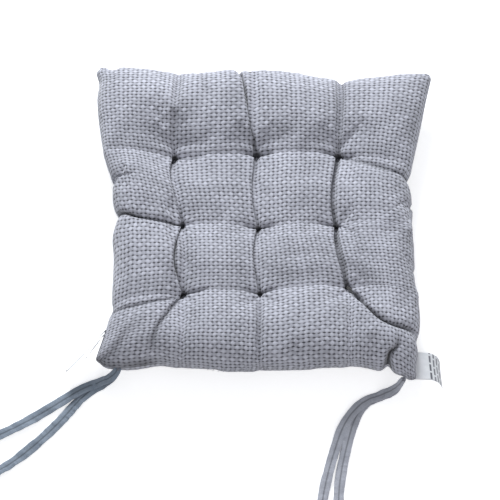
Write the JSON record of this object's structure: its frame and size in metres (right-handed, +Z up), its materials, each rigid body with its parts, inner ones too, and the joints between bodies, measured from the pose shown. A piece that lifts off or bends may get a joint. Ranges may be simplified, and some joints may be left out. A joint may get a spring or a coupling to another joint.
{
  "type": "chair seat pad",
  "caption": "Square tufted chair seat pad in coarse woven grey cloth, with fibre filling, stitched tufts, tape ties at the rear corners and sewn-in labels.",
  "frame": {"origin": "middle of the pad's footprint, on the surface that it rests on", "axes": "+Z up out of the chair's seat; +Y from the edge with the ties (the rear) to the front edge; +X to the right seen from the ties' edge"},
  "size_m": [0.5599, 0.5819, 0.0655],
  "materials": {
    "cover_cloth": "coarse plain weave, grey with a slight violet tint",
    "underside_cloth": "the same coarse plain weave on the underside",
    "fibre": "loose white polyester fibre",
    "stitch_thread": "thick twisted grey thread",
    "seam_thread": "fine twisted grey thread",
    "tie_tape": "soft folded slate blue-grey cloth tape",
    "label_satin": "white satin ribbon with plain grey bars"
  },
  "bodies": {
    "pad": {"top_cover": "cover_cloth", "bottom_cover": "underside_cloth", "fibre_filling": "fibre", "tuft_thread_1_1": "stitch_thread", "tuft_thread_1_2": "stitch_thread", "tuft_thread_1_3": "stitch_thread", "tuft_thread_2_1": "stitch_thread", "tuft_thread_2_2": "stitch_thread", "tuft_thread_2_3": "stitch_thread", "tuft_thread_3_1": "stitch_thread", "tuft_thread_3_2": "stitch_thread", "tuft_thread_3_3": "stitch_thread", "closing_seam_thread": "seam_thread", "edge_seam_thread": "seam_thread", "bartack_left": "seam_thread", "bartack_right": "seam_thread"},
    "tie_left_front": {"tie_left_front": "tie_tape"},
    "tie_left_rear": {"tie_left_rear": "tie_tape"},
    "tie_right_inner": {"tie_right_inner": "tie_tape"},
    "tie_right_outer": {"tie_right_outer": "tie_tape"},
    "care_label": {"care_label": "label_satin"},
    "side_labels": {"side_label_long": "label_satin", "side_label_short": "label_satin"}
  },
  "joints": [
    {"name": "tie_left_front_swing", "type": "hinge", "parent": "tie_left_rear", "child": "tie_left_front", "pos_m": [-0.16517, -0.18331, 0.0245], "axis": [0, 0, 1], "range_deg": [-6, 24]},
    {"name": "tie_left_rear_swing", "type": "hinge", "parent": "pad", "child": "tie_left_rear", "pos_m": [-0.16517, -0.18331, 0.0227], "axis": [0, 0, 1], "range_deg": [-6, 46]},
    {"name": "tie_right_inner_swing", "type": "hinge", "parent": "tie_right_outer", "child": "tie_right_inner", "pos_m": [0.15571, -0.19863, 0.0287], "axis": [0, 0, 1], "range_deg": [-8, 22]},
    {"name": "tie_right_outer_swing", "type": "hinge", "parent": "pad", "child": "tie_right_outer", "pos_m": [0.15571, -0.19863, 0.0269], "axis": [0, 0, 1], "range_deg": [-10, 40]},
    {"name": "care_label_lift", "type": "hinge", "parent": "pad", "child": "care_label", "pos_m": [0.17694, -0.1786, 0.026], "axis": [0.0746, -0.9972, 0], "range_deg": [0, 90]},
    {"name": "side_labels_turn", "type": "hinge", "parent": "pad", "child": "side_labels", "pos_m": [-0.18125, -0.13506, 0.02528], "axis": [0, 0.361, -0.9326], "range_deg": [0, 45]}
  ]
}
